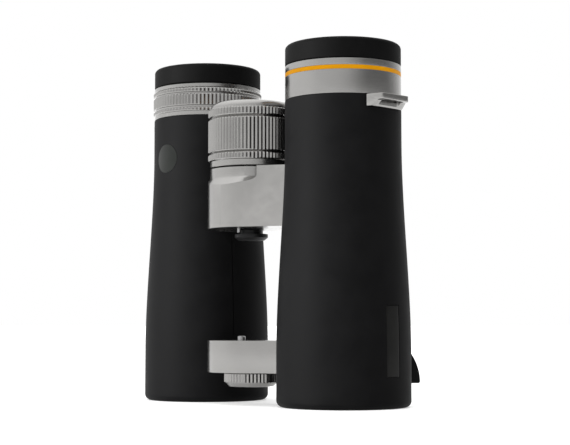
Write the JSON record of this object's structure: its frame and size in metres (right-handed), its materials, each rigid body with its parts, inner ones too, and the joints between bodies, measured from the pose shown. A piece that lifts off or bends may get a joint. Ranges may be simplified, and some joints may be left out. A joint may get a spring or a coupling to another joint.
{
  "type": "binoculars",
  "caption": "Open-bridge roof-prism binoculars with a centre focus wheel, diopter ring, twist-up eyecups, strap lugs and a folding double hinge.",
  "frame": {"origin": "centre of the overall box on the plane of the objective rims, midway between the two barrel axes with the hinge opened to its stop", "axes": "+Z along the optical axes to the eyepieces, +X to the user's left barrel, -Y to the side that faces up in use and carries the hinge"},
  "size_m": [0.1386, 0.0604, 0.1423],
  "materials": {
    "armor_rubber": "matte moulded rubber",
    "silver_metal": "satin anodised",
    "black_metal": "matte black anodised",
    "eyecup_rubber": "matte",
    "coated_glass": "multi-coated, polished",
    "accent_enamel": "satin enamel inlay",
    "badge_metal": "dark satin disc, blank",
    "label_plastic": "smooth, blank",
    "brass": "turned",
    "steel": "ground"
  },
  "bodies": {
    "left_barrel": {"left_frame": "silver_metal", "left_armor": "armor_rubber", "left_objective_ring": "black_metal", "left_objective_lens": "coated_glass", "left_prism_holder": "black_metal", "left_prism_a": "coated_glass", "left_prism_b": "coated_glass", "left_eyepiece_tube": "black_metal", "left_field_cell": "brass", "left_field_lens": "coated_glass", "left_eye_lens": "coated_glass", "left_strap_lug": "silver_metal", "left_collar": "silver_metal", "left_collar_stripe": "accent_enamel", "left_label_plate": "label_plastic", "upper_hinge_pin": "steel", "hinge_end_button": "black_metal", "upper_stop_pin": "steel", "lower_hinge_pin": "steel", "lower_dowel_pin": "steel"},
    "right_barrel": {"right_frame": "silver_metal", "right_armor": "armor_rubber", "right_objective_ring": "black_metal", "right_objective_lens": "coated_glass", "right_prism_holder": "black_metal", "right_prism_a": "coated_glass", "right_prism_b": "coated_glass", "right_eyepiece_tube": "black_metal", "right_eye_lens": "coated_glass", "right_strap_lug": "silver_metal", "right_badge": "badge_metal"},
    "focus_wheel": {"focus_wheel": "silver_metal", "focus_wheel_cap": "silver_metal", "focus_spindle": "steel"},
    "focus_drive": {"focus_drive_disc": "brass"},
    "left_focus": {"left_focus_cell": "black_metal", "left_focus_lens": "coated_glass"},
    "right_focus": {"right_focus_cell": "black_metal", "right_focus_lens": "coated_glass"},
    "left_eyecup_sleeve": {"left_eyecup_sleeve": "black_metal"},
    "left_eyecup": {"left_eyecup": "eyecup_rubber"},
    "right_eyecup_sleeve": {"right_eyecup_sleeve": "black_metal"},
    "right_eyecup": {"right_eyecup": "eyecup_rubber"},
    "diopter_ring": {"diopter_ring": "silver_metal"},
    "diopter_cell": {"right_diopter_cell": "brass", "right_field_lens": "coated_glass"},
    "tripod_cap_seal": {"tripod_cap_seal": "eyecup_rubber"},
    "tripod_cap": {"tripod_cap": "silver_metal"}
  },
  "joints": [
    {"name": "barrel_hinge", "type": "hinge", "parent": "left_barrel", "child": "right_barrel", "pos_m": [0, -0.0116, 0.05], "axis": [0, 0, -1], "range_deg": [0, 63]},
    {"name": "focus_turn", "type": "hinge", "parent": "left_barrel", "child": "focus_wheel", "pos_m": [0, -0.0116, 0.109], "axis": [0, 0, 1], "range_deg": [-220.1, 220.1]},
    {"name": "focus_drive_slide", "type": "slide", "parent": "left_barrel", "child": "focus_drive", "axis": [0, 0, 1], "range_m": [-0.0015, 0.0015]},
    {"name": "left_focus_slide", "type": "slide", "parent": "left_barrel", "child": "left_focus", "axis": [0, 0, 1], "range_m": [-0.00151, 0.00151]},
    {"name": "right_focus_slide", "type": "slide", "parent": "right_barrel", "child": "right_focus", "axis": [0, 0, 1], "range_m": [-0.00151, 0.00151]},
    {"name": "left_eyecup_lift", "type": "slide", "parent": "left_barrel", "child": "left_eyecup_sleeve", "axis": [0, 0, 1], "range_m": [0, 0.0105]},
    {"name": "left_eyecup_twist", "type": "hinge", "parent": "left_eyecup_sleeve", "child": "left_eyecup", "pos_m": [0.04113, 0, 0.138], "axis": [0, 0, 1], "range_deg": [0, 105.1]},
    {"name": "right_eyecup_lift", "type": "slide", "parent": "right_barrel", "child": "right_eyecup_sleeve", "axis": [0, 0, 1], "range_m": [0, 0.0105]},
    {"name": "right_eyecup_twist", "type": "hinge", "parent": "right_eyecup_sleeve", "child": "right_eyecup", "pos_m": [-0.04113, 0, 0.138], "axis": [0, 0, 1], "range_deg": [0, 105.1]},
    {"name": "diopter_turn", "type": "hinge", "parent": "right_barrel", "child": "diopter_ring", "pos_m": [-0.04113, 0, 0.127], "axis": [0, 0, 1], "range_deg": [-60.1, 60.1]},
    {"name": "diopter_cell_slide", "type": "slide", "parent": "right_barrel", "child": "diopter_cell", "axis": [0, 0, 1], "range_m": [-0.001, 0.001]},
    {"name": "tripod_cap_travel", "type": "slide", "parent": "left_barrel", "child": "tripod_cap_seal", "axis": [0, 0, -1], "range_m": [0, 0.00635]},
    {"name": "tripod_cap_turn", "type": "hinge", "parent": "tripod_cap_seal", "child": "tripod_cap", "pos_m": [0, -0.0116, 0.01], "axis": [0, 0, -1], "range_deg": [0, 1801]}
  ],
  "couplings": [
    {"joint": "focus_turn", "follows": "focus_drive_slide", "rad_per_m": 2559.8},
    {"joint": "left_focus_slide", "follows": "focus_drive_slide", "ratio": 1},
    {"joint": "right_focus_slide", "follows": "focus_drive_slide", "ratio": 1},
    {"joint": "left_eyecup_twist", "follows": "left_eyecup_lift", "rad_per_m": 174.53},
    {"joint": "right_eyecup_twist", "follows": "right_eyecup_lift", "rad_per_m": 174.53},
    {"joint": "diopter_turn", "follows": "diopter_cell_slide", "rad_per_m": 1047.2},
    {"joint": "tripod_cap_turn", "follows": "tripod_cap_travel", "rad_per_m": 4947.4}
  ]
}
